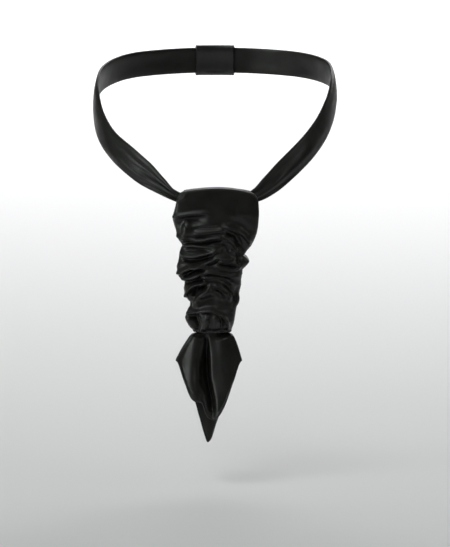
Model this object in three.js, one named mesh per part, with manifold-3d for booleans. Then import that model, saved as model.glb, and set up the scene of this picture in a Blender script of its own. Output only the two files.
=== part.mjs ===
// A ready-tied cravat in black satin, shaped as it sits on a standing collar: a folded neck band that runs
// through the top of a ruched knot, a pleated front tail with a pointed hem, a narrow under end behind it,
// and the plain slide that closes the band at the back of the neck.
//
// Millimetres, +Z up, the front faces -Y. The origin is the middle of the neck opening, level with the
// band at the sides of the neck.
import * as THREE from "three";
import { LoftGeometry } from "three/addons/geometries/LoftGeometry.js";
import { mergeVertices } from "three/addons/utils/BufferGeometryUtils.js";
import Module from "manifold-3d";

const wasm = await Module();
wasm.setup();

// Driving dimensions.
const NECK_HALF_WIDTH = 65; // to the middle of the band's thickness
const NECK_HALF_DEPTH = 66;
const GAP = 0.4; // air between pieces that touch on the real thing
const CLOTH_WALL = 2.2; // the knot's ruched satin on its lining
const CHEST_LEAN = 8; // degrees that the shirt front slopes forward as it goes down

const KNOT_TOP = -46.6;
const KNOT_MOUTH = -121.2;
const KNOT_BACK_AT_TOP = -66; // y of the knot's back, level with its top

const KNOT_FULLNESS = 0.375; // its section is fuller than an ellipse, whose figure is 0.5
const FOLD_TURN = 0.7; // how soon the folds die away where the knot turns back at its sides
const ROLL_OVER = 0.08; // share of the knot's height over which its top rolls over the band
const TURN_UNDER = { drop: 0.6, inset: 0.7, folds: 0.6 }; // the last ring of its lower edge
const FOLD_DROOP = 0.25; // how far a fold hangs down for each millimetre that it stands out

const TAIL_NECK = -122.4; // just under the knot's turned edge, where both tails begin to widen
const BLADE_THICKNESS = 2;
const UNDER_THICKNESS = 1.8;
const STEM_CLEARANCE = 0.5; // between the knot's inside and the tails' gathered tops
const UNDER_STEM_SPREAD = 0.6; // share of the hollow's width that the under end's top takes
const BLADE_OPENS = 0.22; // share of a blade's length over which it opens out of its gathered top
const BLADE_BELLY = 1.6; // how far the front blade swells forward below the knot
const EDGE_SQUARENESS = 14; // how squarely a blade keeps its thickness up to its side edges
const HEM_START = 0.965; // share of a blade's length at which its rolled hem begins to round over
const BLADE_STAND_OFF = 7; // from the shirt to the middle of the front blade

const SATIN = new THREE.MeshStandardMaterial({ color: 0x15181a, roughness: 0.38, metalness: 0 });
const ENAMEL = new THREE.MeshStandardMaterial({ color: 0x0c0c0d, roughness: 0.45, metalness: 0.6 });

// The knot's outline from the front. x of the left edge at each z: the lobes and notches of the folds.
const KNOT_LEFT = [
  { z: -48.2, x: -15.8 },
  { z: -50.2, x: -18.8 },
  { z: -52.8, x: -20.6 },
  { z: -60.0, x: -22.3 },
  { z: -69.8, x: -19.6 },
  { z: -74.4, x: -16.9 },
  { z: -80.0, x: -18.2 },
  { z: -86.6, x: -20.1 },
  { z: -90.8, x: -18.8 },
  { z: -92.8, x: -16.4 },
  { z: -99.0, x: -15.9 },
  { z: -104.4, x: -12.6 },
  { z: -112.4, x: -15.5 },
  { z: -118.0, x: -13.2 },
  { z: KNOT_MOUTH, x: -10.6 },
];
const KNOT_RIGHT = [
  { z: -48.9, x: 19.2 },
  { z: -51.4, x: 21.8 },
  { z: -54.4, x: 23.2 },
  { z: -58.0, x: 23.4 },
  { z: -66.0, x: 22.6 },
  { z: -71.0, x: 20.4 },
  { z: -75.0, x: 17.0 },
  { z: -78.6, x: 14.0 },
  { z: -80.6, x: 16.4 },
  { z: -83.2, x: 17.6 },
  { z: -86.0, x: 16.0 },
  { z: -88.4, x: 13.9 },
  { z: -98.0, x: 13.1 },
  { z: -104.0, x: 12.2 },
  { z: -107.0, x: 10.5 },
  { z: -118.0, x: 9.0 },
  { z: KNOT_MOUTH, x: 7.6 },
];
// From back to front, before the folds stand out of it, and how far a ring of cloth drops from its middle
// to either side.
const KNOT_RINGS = [
  { z: KNOT_TOP, depth: 1.0, dropLeft: 1.6, dropRight: 2.4 },
  { z: -47.1, depth: 4.4, dropLeft: 1.6, dropRight: 2.4 },
  { z: -48.4, depth: 8.6, dropLeft: 1.5, dropRight: 2.5 },
  { z: -50.4, depth: 12.0, dropLeft: 1.4, dropRight: 2.6 },
  { z: -58.0, depth: 16.5, dropLeft: 1.2, dropRight: 3.6 },
  { z: -66.0, depth: 18.0, dropLeft: 2.0, dropRight: 5.0 },
  { z: -74.5, depth: 16.0, dropLeft: 2.6, dropRight: 4.4 },
  { z: -83.0, depth: 17.5, dropLeft: 3.0, dropRight: 3.6 },
  { z: -93.0, depth: 15.5, dropLeft: 4.2, dropRight: 5.0 },
  { z: -104.0, depth: 14.5, dropLeft: 4.0, dropRight: 6.0 },
  { z: -113.0, depth: 16.0, dropLeft: 2.4, dropRight: 3.0 },
  { z: -118.4, depth: 14.0, dropLeft: 0.8, dropRight: 0.8 },
  { z: KNOT_MOUTH, depth: 11.4, dropLeft: 0, dropRight: 0 },
];
// The plain room inside the knot: its two sides, and how far it reaches forward from its back wall. Only
// its last row is under the mouth.
const HOLLOW = [
  { z: -50.4, left: -13.6, right: 14.6, deep: 5.6 },
  { z: -54.0, left: -17.4, right: 18.4, deep: 9.6 },
  { z: -61.0, left: -19.4, right: 20.2, deep: 12.0 },
  { z: -74.5, left: -14.4, right: 13.6, deep: 11.2 },
  { z: -80.0, left: -14.4, right: 11.0, deep: 11.8 },
  { z: -93.0, left: -13.2, right: 10.6, deep: 10.8 },
  { z: -104.0, left: -10.0, right: 9.0, deep: 9.6 },
  { z: -113.0, left: -10.0, right: 7.0, deep: 10.0 },
  { z: KNOT_MOUTH, left: -8.2, right: 5.2, deep: 7.2 },
  { z: -124.0, left: -8.2, right: 5.2, deep: 7.2 },
];

// Each fold is an arc through three points of the front view, with its rise out of the cloth, and its
// soft width over and under the crest. A fold that runs down has "over" on its right. A dent's rise is
// negative.
const KNOT_FOLDS = [
  { name: "rim", a: [-23.4, -60.6], m: [-13.2, -57.8], b: [-3.6, -58.8], rise: 1.5, over: 3.2, under: 1.3 },
  { name: "side", a: [-6, -57], m: [-3.8, -60.6], b: [-8.2, -67.4], rise: 1.1, over: 1.8, under: 2 },
  { name: "dent", a: [-22.4, -64], m: [-16.2, -62.8], b: [-10.2, -64], rise: -1.4, over: 2.2, under: 2.6 },
  { name: "dart", a: [-14.2, -62.6], m: [-16.6, -66.8], b: [-20, -71.8], rise: 1.2, over: 1.2, under: 1.2 },
  { name: "shelf", a: [-16.4, -68.6], m: [-4.2, -66.6], b: [10, -67.8], rise: 1.3, over: 2.2, under: 1.2 },
  { name: "lip 1", a: [-18, -73.2], m: [-5.4, -71.8], b: [7, -69], rise: 1.8, over: 2, under: 0.9 },
  { name: "roll 2", a: [-21, -76.8], m: [-9, -75.2], b: [4.6, -76.2], rise: 1.5, over: 1.6, under: 1.4 },
  { name: "lip 2", a: [-20, -80.2], m: [-7.6, -79.8], b: [5.8, -76.8], rise: 1.9, over: 1.7, under: 0.9 },
  { name: "lip 3", a: [-21.4, -84.8], m: [-9, -84], b: [2, -79.8], rise: 1.5, over: 1.6, under: 0.9 },
  { name: "lip 4", a: [-22, -90.2], m: [-13.2, -86.2], b: [-4, -87], rise: 2, over: 1.6, under: 0.9 },
  { name: "lip 5", a: [-18.6, -94.2], m: [-1.6, -88.6], b: [15.6, -94.4], rise: 1.9, over: 1.7, under: 0.9 },
  { name: "lip 6", a: [-10.4, -94.2], m: [-4.4, -91.2], b: [3, -90.6], rise: 1.2, over: 1.3, under: 0.9 },
  { name: "lip 7", a: [-17.6, -102.6], m: [-12.6, -95.2], b: [-1.6, -94.8], rise: 2, over: 1.8, under: 0.9 },
  { name: "lip 8", a: [-14.6, -106.6], m: [-9.4, -100.2], b: [-1.8, -97], rise: 1.4, over: 1.4, under: 0.9 },
  { name: "lip 9", a: [-12.4, -107.6], m: [-5.2, -101.4], b: [4.2, -101], rise: 1.1, over: 1.8, under: 1.1 },
  { name: "arch", a: [-17.4, -112.2], m: [-1, -108.8], b: [7.6, -121.2], rise: 2, over: 2.2, under: 0.9 },
  { name: "arc 1", a: [3.4, -65.4], m: [12.4, -68.8], b: [19.6, -76.2], rise: 1.6, over: 2.2, under: 1.1 },
  { name: "arc 2", a: [3.6, -70.2], m: [9.2, -72.8], b: [12.6, -77.8], rise: 1.1, over: 1.3, under: 0.9 },
  { name: "arc 3", a: [1.4, -75.6], m: [9.4, -76.8], b: [16.4, -80.4], rise: 1.4, over: 1.6, under: 0.9 },
  { name: "lobe", a: [7, -82.6], m: [13.2, -82], b: [19, -84.4], rise: 1.2, over: 2.4, under: 2.4 },
  { name: "eye lid", a: [-2, -82], m: [6, -82], b: [14.2, -86.4], rise: 1.2, over: 1.3, under: 0.9 },
  { name: "eye rim", a: [-2, -85.6], m: [6, -87.8], b: [14.6, -86.2], rise: 1.2, over: 1.2, under: 0.9 },
  { name: "arc 4", a: [2.4, -93.6], m: [9, -96], b: [15, -100.4], rise: 1.5, over: 1.8, under: 0.9 },
  { name: "arc 5", a: [0.4, -96], m: [8, -99.2], b: [11.6, -107], rise: 1.4, over: 2, under: 1 },
  { name: "pocket", a: [-14.4, -112.6], m: [-10.4, -116], b: [-7, -120], rise: -1.4, over: 2.4, under: 2.4 },
  { name: "pleat 1", a: [-6, -110.6], m: [-4.8, -115.6], b: [-6.6, -123], rise: 1.3, over: 1.2, under: 1.5 },
  { name: "pleat 2", a: [-1.4, -109.8], m: [-0.6, -115.6], b: [-2, -123], rise: 1, over: 1.2, under: 1.2 },
  { name: "pleat 3", a: [3, -110.6], m: [3.4, -116.2], b: [2.2, -123], rise: 1, over: 1.2, under: 1.2 },
];

// The front tail: its side edges below the knot's mouth, its hem from the left corner round the point to
// the right corner, and its pleats.
const TAIL_SIDES = [
  { z: TAIL_NECK, left: -8.0, right: 5.0 },
  { z: -123.4, left: -12.8, right: 9.4 },
  { z: -125.6, left: -14.8, right: 10.9 },
  { z: -133.6, left: -19.6, right: 13.6 },
  { z: -137.0, left: -21.0, right: 14.4 },
];
const TAIL_HEM = [
  { x: -21.0, z: -137.0 },
  { x: -16.6, z: -147.6 },
  { x: -12.6, z: -156.6 },
  { x: -10.4, z: -158.0 },
  { x: -7.9, z: -158.2 },
  { x: -6.3, z: -160.6 },
  { x: -5.3, z: -164.0 },
  { x: -3.2, z: -166.8 },
  { x: -0.6, z: -167.6 },
  { x: 2.0, z: -165.6 },
  { x: 5.0, z: -160.6 },
  { x: 9.9, z: -147.6 },
  { x: 14.4, z: -137.0 },
];
const TAIL_PLEATS = [
  { name: "roll 1", a: [-10.4, -118], m: [-15, -139.6], b: [-11.6, -164], rise: 2.2, over: 2.4, under: 4.4 },
  { name: "groove", a: [-8.8, -118], m: [-12.4, -140.6], b: [-8.4, -164], rise: -0.9, over: 1.4, under: 1.6 },
  { name: "roll 2", a: [-7.6, -116], m: [-9.8, -140], b: [-5.2, -168], rise: 1.8, over: 2, under: 1.7 },
  { name: "deep", a: [-4.9, -116], m: [-4, -142], b: [-0.6, -172], rise: -3, over: 1.3, under: 3 },
  { name: "edge", a: [-3.6, -116], m: [-1.6, -142], b: [1.8, -172], rise: 2.2, over: 5, under: 0.8 },
  { name: "fall", a: [6, -121], m: [11.6, -137], b: [8.4, -158], rise: -0.9, over: 4, under: 3.2 },
];

// The under end, narrow and plain, from the knot's mouth to its point.
const UNDER_SIDES = [
  { z: TAIL_NECK, left: -6.6, right: 3.4 },
  { z: -132.0, left: -10.6, right: 7.2 },
  { z: -152.0, left: -12.6, right: 7.2 },
  { z: -157.6, left: -12.0, right: 6.0 },
];
const UNDER_HEM = [
  { x: -12.0, z: -157.6 },
  { x: -8.6, z: -167.4 },
  { x: -6.0, z: -176.4 },
  { x: -4.0, z: -181.2 },
  { x: -2.4, z: -180.0 },
  { x: 1.0, z: -170.4 },
  { x: 4.2, z: -162.6 },
  { x: 6.0, z: -157.6 },
];
const UNDER_PLEATS = [
  { name: "middle roll", a: [-3, -120], m: [-3, -148], b: [-4, -180], rise: 0.5, over: 4, under: 4 },
];

// The neck band, by degrees round the neck from the front: z of its middle and its width on the left side
// and on the right, its thickness, the lean that turns its lower edge outwards, and the outset that
// carries it off the collar where it runs through the knot.
const BAND_STATIONS = [
  { angle: 0, left: -52.8, right: -52.8, wideLeft: 5.4, wideRight: 5.4, thick: 3.0, lean: 10, outset: 4.4 },
  { angle: 13, left: -52.6, right: -52.8, wideLeft: 5.4, wideRight: 5.6, thick: 3.0, lean: 14, outset: 4.6 },
  { angle: 19, left: -50.4, right: -50.4, wideLeft: 5.8, wideRight: 7.6, thick: 3.0, lean: 20, outset: 4.4 },
  { angle: 26, left: -45.8, right: -45.4, wideLeft: 9.4, wideRight: 10.8, thick: 2.7, lean: 24, outset: 3.0 },
  { angle: 36, left: -39.4, right: -37.6, wideLeft: 13.8, wideRight: 13, thick: 2.4, lean: 22, outset: 1.4 },
  { angle: 47, left: -32.6, right: -29.4, wideLeft: 14.6, wideRight: 13.6, thick: 2.2, lean: 19, outset: 1 },
  { angle: 60, left: -26.4, right: -20.8, wideLeft: 13.6, wideRight: 13.8, thick: 2.2, lean: 16, outset: 0 },
  { angle: 74, left: -17.4, right: -9.8, wideLeft: 14.0, wideRight: 14.2, thick: 2.2, lean: 12, outset: 0 },
  { angle: 90, left: -4.6, right: 1.6, wideLeft: 14.4, wideRight: 14.4, thick: 2.2, lean: 8, outset: 0 },
  { angle: 108, left: 3.6, right: 6.4, wideLeft: 14.4, wideRight: 14.4, thick: 2.2, lean: 6, outset: 0 },
  { angle: 140, left: 8.0, right: 8.4, wideLeft: 14.4, wideRight: 14.4, thick: 2.2, lean: 4, outset: 0 },
  { angle: 180, left: 8.8, right: 8.8, wideLeft: 14.4, wideRight: 14.4, thick: 2.2, lean: 3, outset: 0 },
];
// Lengthwise folds of the band by degrees from the front: the crest's place across it, from -1 at its
// lower edge to 1 at its upper edge, the crest's height, and how far the band's middle bows outwards.
const BAND_FOLDS = [
  { angle: 8, crest: -0.1, height: 1.2, cup: 0.0 },
  { angle: 20, crest: -0.15, height: 1.2, cup: 0.1 },
  { angle: 30, crest: -0.05, height: 0.9, cup: 0.3 },
  { angle: 44, crest: 0.25, height: 0.45, cup: 0.5 },
  { angle: 60, crest: 0.4, height: 0.15, cup: 0.6 },
  { angle: 90, crest: 0.4, height: 0, cup: 0.6 },
  { angle: 180, crest: 0.4, height: 0, cup: 0.5 },
];
const BAND_END_GAP = 1.4; // degrees from the middle of the back to either cut end
const SLIT_REACH = 36; // degrees from the front that the cut through the knot for the band reaches
const BAND_EDGE = { across: 0.55, deep: 0.6 }; // roundness of its section: 1 is an ellipse, 0 a rectangle
const CREST_WIDTH = 0.42; // of a lengthwise fold, as a share of half the band's width
const CLASP_HALF_ANGLE = 9.6;
const CLASP_WALL = 1;

// How finely each piece is cut up.
const KNOT_GRID = { front: 40, back: 8, rows: 58 };
const HOLLOW_GRID = { side: 14 };
const TAIL_GRID = { across: 20, bladeRows: 19 };
const UNDER_GRID = { across: 10, bladeRows: 11 };
const BAND_GRID = { steps: 66, around: 12 };
const CLASP_STEPS = 6;
const CROWDING = { hem: 1.3, pleats: 0.35, knot: 1.3 }; // closer rows and columns towards these places

const radians = THREE.MathUtils.degToRad;

// A smooth reading of one column of a table, level at each turning point, so it never overshoots.
function column(table, key, name) {
  const rows = [...table].sort((p, q) => p[key] - q[key]);
  const slope = rows.map((row, i) => {
    if (i === 0 || i === rows.length - 1) return 0;
    const before = (row[name] - rows[i - 1][name]) / (row[key] - rows[i - 1][key]);
    const after = (rows[i + 1][name] - row[name]) / (rows[i + 1][key] - row[key]);
    return before * after > 0 ? (2 * before * after) / (before + after) : 0;
  });
  return (at) => {
    const clamped = THREE.MathUtils.clamp(at, rows[0][key], rows[rows.length - 1][key]);
    let i = 0;
    while (i < rows.length - 2 && clamped > rows[i + 1][key]) i++;
    const step = rows[i + 1][key] - rows[i][key];
    const u = (clamped - rows[i][key]) / step;
    const rise = u * u * (3 - 2 * u);
    return (
      rows[i][name] * (1 - rise) +
      rows[i + 1][name] * rise +
      step * u * (1 - u) * (slope[i] * (1 - u) - slope[i + 1] * u)
    );
  };
}

// The sum of a table of folds at a point of the front view: each crest falls away softly over it and
// under it, and fades out at the fold's two ends.
const ARC_STEPS = 14;
const FADE = 0.22; // of the fold's length, at either end
function folds(table) {
  const arcs = table.map((fold) => {
    const [a, m, b] = [fold.a, fold.m, fold.b].map(([x, z]) => new THREE.Vector2(x, z));
    const control = m.clone().multiplyScalar(2).addScaledVector(a, -0.5).addScaledVector(b, -0.5);
    return { ...fold, points: new THREE.QuadraticBezierCurve(a, control, b).getPoints(ARC_STEPS) };
  });
  return (x, z) => {
    let sum = 0;
    for (const { points, rise, over, under } of arcs) {
      let best = { distance: Infinity, along: 0, side: 1 };
      for (let i = 0; i < ARC_STEPS; i++) {
        const [p, q] = [points[i], points[i + 1]];
        const [dx, dz] = [q.x - p.x, q.y - p.y];
        const part = ((x - p.x) * dx + (z - p.y) * dz) / (dx * dx + dz * dz);
        const u = THREE.MathUtils.clamp(part, 0, 1);
        const distance = Math.hypot(x - p.x - u * dx, z - p.y - u * dz);
        const side = Math.sign(dx * (z - p.y) - dz * (x - p.x)) || 1;
        if (distance < best.distance) best = { distance, along: (i + u) / ARC_STEPS, side };
      }
      const end = Math.min(best.along, 1 - best.along) / FADE;
      const fade = THREE.MathUtils.smoothstep(end, 0, 1);
      sum += rise * fade * Math.exp(-((best.distance / (best.side > 0 ? over : under)) ** 2));
    }
    return sum;
  };
}

const CAPPED = { capStart: true, capEnd: true };

function solid(geometry) {
  const bare = new THREE.BufferGeometry().setAttribute("position", geometry.getAttribute("position"));
  bare.setIndex(geometry.index);
  const merged = mergeVertices(bare, 1e-3);
  return new wasm.Manifold(
    new wasm.Mesh({
      numProp: 3,
      vertProperties: merged.attributes.position.array,
      triVerts: new Uint32Array(merged.index.array),
    }),
  );
}

// The knot

const knotLeft = column(KNOT_LEFT, "z", "x");
const knotRight = column(KNOT_RIGHT, "z", "x");
const knotDepth = column(KNOT_RINGS, "z", "depth");
const dropLeft = column(KNOT_RINGS, "z", "dropLeft");
const dropRight = column(KNOT_RINGS, "z", "dropRight");
const knotFolds = folds(KNOT_FOLDS);

// y of the shirt front, which the knot's back and both tails hang against.
const shirtAt = (z) => KNOT_BACK_AT_TOP - Math.max(0, KNOT_TOP - z) * Math.tan(radians(CHEST_LEAN));

// The knot's section whose middle is at height z, taken in by inset: where it is at a share across, from
// -1 on the left to 1 on the right, and how far it reaches before and behind its middle there.
function knotSection(z, inset) {
  const left = knotLeft(z - dropLeft(z)) + inset;
  const right = knotRight(z - dropRight(z)) - inset;
  const half = (right - left) / 2;
  const deep = knotDepth(z) / 2 - inset;
  return (across) => {
    const height = z - (across < 0 ? dropLeft(z) : dropRight(z)) * across * across;
    return {
      x: (left + right) / 2 + half * across,
      y: shirtAt(height) - inset - deep,
      z: height,
      reach: deep * Math.max(0, 1 - across * across) ** KNOT_FULLNESS,
      slope: new THREE.Vector2(across / half, Math.sqrt(Math.max(0, 1 - across * across)) / deep).normalize(),
    };
  };
}

// A ring round that section, with the folds of its front at a share of their rise.
function knotRing(middle, inset, share) {
  const section = knotSection(middle, inset);
  const { front, back } = KNOT_GRID;
  const ring = [];
  for (let i = 0; i < front; i++) {
    const { x, y, z, reach, slope } = section(Math.cos((Math.PI * i) / front));
    const lift = share * knotFolds(x, z) * slope.y ** FOLD_TURN;
    const droop = FOLD_DROOP * Math.max(0, lift);
    ring.push(new THREE.Vector3(x + slope.x * lift, y - reach - slope.y * lift, z - droop));
  }
  for (let i = 0; i < back; i++) {
    const { x, y, z, reach } = section(-Math.cos((Math.PI * i) / back));
    ring.push(new THREE.Vector3(x, y + reach, z));
  }
  return ring;
}

function knotBody() {
  const rings = [];
  for (let i = 0; i <= KNOT_GRID.rows; i++) {
    const share = i / KNOT_GRID.rows;
    // The rows are closer where the top rolls over.
    const eased = share < ROLL_OVER ? (share * share) / ROLL_OVER : share;
    rings.push(knotRing(THREE.MathUtils.lerp(KNOT_TOP, KNOT_MOUTH, eased), 0, 1));
  }
  rings.push(knotRing(KNOT_MOUTH - TURN_UNDER.drop, TURN_UNDER.inset, TURN_UNDER.folds));
  return solid(new LoftGeometry(rings, CAPPED));
}

// The room inside the knot at one row of its table, drawn in from its walls by inset.
function hollowSection({ z, left, right, deep }, inset) {
  const half = (right - left) / 2 - inset;
  const reach = deep / 2 - inset;
  return (across) => ({
    x: (left + right) / 2 + half * across,
    y: shirtAt(z) - CLOTH_WALL - deep / 2,
    z,
    reach: reach * Math.max(0, 1 - across * across) ** KNOT_FULLNESS,
  });
}

function knotHollow() {
  const shares = Array.from({ length: HOLLOW_GRID.side }, (_, i) => i / HOLLOW_GRID.side);
  const rings = HOLLOW.map((row) => {
    const section = hollowSection(row, 0);
    const wall = (share, sign) => {
      const { x, y, z, reach } = section(-sign * Math.cos(Math.PI * share));
      return new THREE.Vector3(x, y + sign * reach, z);
    };
    return [...shares.map((share) => wall(share, -1)), ...shares.map((share) => wall(share, 1))];
  });
  return solid(new LoftGeometry(rings, CAPPED));
}

// The tails

// A tail is rows of points down its stem, inside the knot, and down its blade, as one thin closed solid.
// stem gives a point of its middle at a share across and a row of the hollow; blade gives one at a share
// across and a share down. Each point has x, y, z and half the cloth's thickness.
function tailSolid(grid, stem, blade) {
  const { across, bladeRows } = grid;
  const crowd = (turn) => (turn + CROWDING.pleats * Math.sin(turn)) / (2 * Math.PI);
  const shareOf = (i) => crowd((2 * Math.PI * i) / across);
  const ringOf = (place) => {
    const front = Array.from({ length: across + 1 }, (_, i) => place(shareOf(across - i)));
    const back = Array.from({ length: across - 1 }, (_, i) => place(shareOf(i + 1)));
    return [
      ...front.map(({ x, y, z, half }) => new THREE.Vector3(x, y - half, z)),
      ...back.map(({ x, y, z, half }) => new THREE.Vector3(x, y + half, z)),
    ];
  };
  const rings = STEM_ROWS.map((row) => ringOf((share) => stem(share, row)));
  for (let row = 1; row <= bladeRows; row++) {
    const down = 1 - (1 - row / bladeRows) ** CROWDING.hem;
    rings.push(ringOf((share) => blade(share, down)));
  }
  return solid(new LoftGeometry(rings, { capStart: true }));
}

// A point of a stem: it fills the knot's hollow over spread of its width, between two distances from
// the hollow's back wall. The stems end under the band, and reach to just below the mouth.
const STEM_ROWS = [...HOLLOW.slice(2, -1), { ...HOLLOW[HOLLOW.length - 1], z: TAIL_NECK }];
function stemPlace(share, row, spread, deep, shallow) {
  const section = hollowSection(row, STEM_CLEARANCE);
  const middle = section(0);
  const here = section(spread * (2 * share - 1));
  const wall = middle.y + middle.reach;
  const front = Math.max(here.y - here.reach, wall - deep);
  const back = Math.min(here.y + here.reach, wall - shallow);
  return { x: here.x, y: (front + back) / 2, z: here.z, half: Math.max(0, back - front) / 2 };
}

// A point of a blade, between its side edges, as far down from the neck to the hem as asked; hung gives
// the y of its middle, and it leaves the stem's shape over the first part of its length.
function bladePlace({ sides, hem, thickness, hung, stem }, share, down) {
  const [first, last] = [sides[0], sides[sides.length - 1]];
  const sideZ = THREE.MathUtils.lerp(first.z, last.z, down);
  const left = column(sides, "z", "left")(sideZ);
  const right = column(sides, "z", "right")(sideZ);
  const hemZ = column(hem, "x", "z")(THREE.MathUtils.lerp(last.left, last.right, share));
  const x = THREE.MathUtils.lerp(left, right, share);
  const z = THREE.MathUtils.lerp(first.z, hemZ, down);
  const root = stem(share, STEM_ROWS[STEM_ROWS.length - 1]);
  const out = THREE.MathUtils.smoothstep(down, 0, BLADE_OPENS);
  const side = Math.sqrt(1 - Math.abs(2 * share - 1) ** EDGE_SQUARENESS);
  const roll = Math.sqrt(1 - THREE.MathUtils.clamp((down - HEM_START) / (1 - HEM_START), 0, 1) ** 2);
  return {
    x,
    y: THREE.MathUtils.lerp(root.y, hung(x, z, down), out),
    z,
    half: THREE.MathUtils.lerp(root.half, (thickness / 2) * side, out) * roll,
  };
}

function frontTail() {
  const pleats = folds(TAIL_PLEATS);
  const stem = (share, row) => stemPlace(share, row, 1, Infinity, UNDER_THICKNESS + GAP);
  const hung = (x, z, down) => {
    const belly = BLADE_BELLY * Math.sin(Math.PI * down);
    const pleated = THREE.MathUtils.smoothstep(down, 0, BLADE_OPENS);
    return shirtAt(z) - BLADE_STAND_OFF - belly - pleats(x, z) * pleated;
  };
  const shape = { sides: TAIL_SIDES, hem: TAIL_HEM, thickness: BLADE_THICKNESS, hung, stem };
  return tailSolid(TAIL_GRID, stem, (share, down) => bladePlace(shape, share, down));
}

function underTail() {
  const pleats = folds(UNDER_PLEATS);
  const stem = (share, row) => stemPlace(share, row, UNDER_STEM_SPREAD, UNDER_THICKNESS, 0);
  const hung = (x, z) => shirtAt(z) - GAP - UNDER_THICKNESS / 2 - pleats(x, z);
  const shape = { sides: UNDER_SIDES, hem: UNDER_HEM, thickness: UNDER_THICKNESS, hung, stem };
  return tailSolid(UNDER_GRID, stem, (share, down) => bladePlace(shape, share, down));
}

// The neck band and its clasp

function readings(table, names) {
  return Object.fromEntries(names.map((name) => [name, column(table, "angle", name)]));
}
const band = readings(BAND_STATIONS, ["left", "right", "wideLeft", "wideRight", "thick", "lean", "outset"]);
const bandFold = readings(BAND_FOLDS, ["crest", "height", "cup"]);

const HALF_DEGREE = 0.5;

// The middle of the band at an angle round the neck, negative on the left.
function bandCentre(angle) {
  const turn = radians(angle);
  const from = Math.abs(angle);
  const out = band.outset(from);
  return new THREE.Vector3(
    (NECK_HALF_WIDTH + out) * Math.sin(turn),
    -(NECK_HALF_DEPTH + out) * Math.cos(turn),
    angle < 0 ? band.left(from) : band.right(from),
  );
}

// A ring round the band's section, grown by some millimetres all round.
function bandRing(angle, grow, withFolds) {
  const from = Math.abs(angle);
  const here = bandCentre(angle);
  const along = bandCentre(angle + HALF_DEGREE).sub(bandCentre(angle - HALF_DEGREE)).normalize();
  const turn = radians(angle);
  const lean = radians(band.lean(from));
  const outward = new THREE.Vector3(Math.sin(turn), -Math.cos(turn), 0)
    .multiplyScalar(Math.cos(lean))
    .add(new THREE.Vector3(0, 0, Math.sin(lean)));
  outward.addScaledVector(along, -outward.dot(along)).normalize();
  const up = new THREE.Vector3().crossVectors(outward, along);
  const halfWidth = (angle < 0 ? band.wideLeft(from) : band.wideRight(from)) / 2 + grow;
  const halfThick = band.thick(from) / 2 + grow;
  const ring = [];
  for (let i = 0; i < BAND_GRID.around; i++) {
    const angleRound = (2 * Math.PI * i) / BAND_GRID.around;
    const [c, s] = [Math.cos(angleRound), Math.sin(angleRound)];
    const across = Math.sign(c) * Math.abs(c) ** BAND_EDGE.across;
    const deep = Math.sign(s) * Math.abs(s) ** BAND_EDGE.deep;
    const crest = bandFold.height(from) * Math.exp(-(((across - bandFold.crest(from)) / CREST_WIDTH) ** 2));
    const cup = bandFold.cup(from) * (1 - across * across);
    const lift = withFolds ? (deep > 0 ? crest : 0) + cup : cup;
    ring.push(
      here
        .clone()
        .addScaledVector(up, across * halfWidth)
        .addScaledVector(outward, deep * halfThick + lift),
    );
  }
  return ring;
}

const BAND_ANGLES = Array.from({ length: BAND_GRID.steps + 1 }, (_, i) => {
  const share = (2 * i) / BAND_GRID.steps - 1;
  return (180 - BAND_END_GAP) * Math.sign(share) * Math.abs(share) ** CROWDING.knot;
});

function neckBand() {
  return solid(new LoftGeometry(BAND_ANGLES.map((angle) => bandRing(angle, 0, true)), CAPPED));
}

// What is cut out of the knot for the band to pass through.
function bandSlits() {
  const near = BAND_ANGLES.filter((angle) => Math.abs(angle) < SLIT_REACH);
  return solid(new LoftGeometry(near.map((angle) => bandRing(angle, GAP, true)), CAPPED));
}

// A flat sleeve round the two cut ends of the band.
function backClasp() {
  const row = (i, grow) => bandRing(180 - CLASP_HALF_ANGLE * (1 - (2 * i) / CLASP_STEPS), grow, false);
  const rings = [];
  for (let i = 0; i <= CLASP_STEPS; i++) rings.push(row(i, GAP + CLASP_WALL));
  for (let i = CLASP_STEPS; i >= 0; i--) rings.push(row(i, GAP));
  rings.push(row(0, GAP + CLASP_WALL));
  return solid(new LoftGeometry(rings));
}

function named(name, made, material) {
  const { vertProperties, triVerts } = made.getMesh();
  const geometry = new THREE.BufferGeometry();
  geometry.setAttribute("position", new THREE.BufferAttribute(vertProperties, 3));
  geometry.setIndex(new THREE.BufferAttribute(triVerts, 1));
  geometry.computeVertexNormals();
  const mesh = new THREE.Mesh(geometry, material);
  mesh.name = name;
  return mesh;
}

const cravat = new THREE.Group();
cravat.name = "cravat";
cravat.add(
  named("knot", knotBody().subtract(knotHollow()).subtract(bandSlits()), SATIN),
  named("neck_band", neckBand(), SATIN),
  named("front_tail", frontTail(), SATIN),
  named("under_tail", underTail(), SATIN),
  named("back_clasp", backClasp(), ENAMEL),
);

export default cravat;
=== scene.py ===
"""A ready-tied black satin cravat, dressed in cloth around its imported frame.

Metres, +Z up, the front faces -Y. The tables are in millimetres, as a tie maker measures, and MM turns
them into metres.
"""
import math

import bmesh
import bpy
import numpy as np
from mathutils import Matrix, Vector, noise


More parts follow.
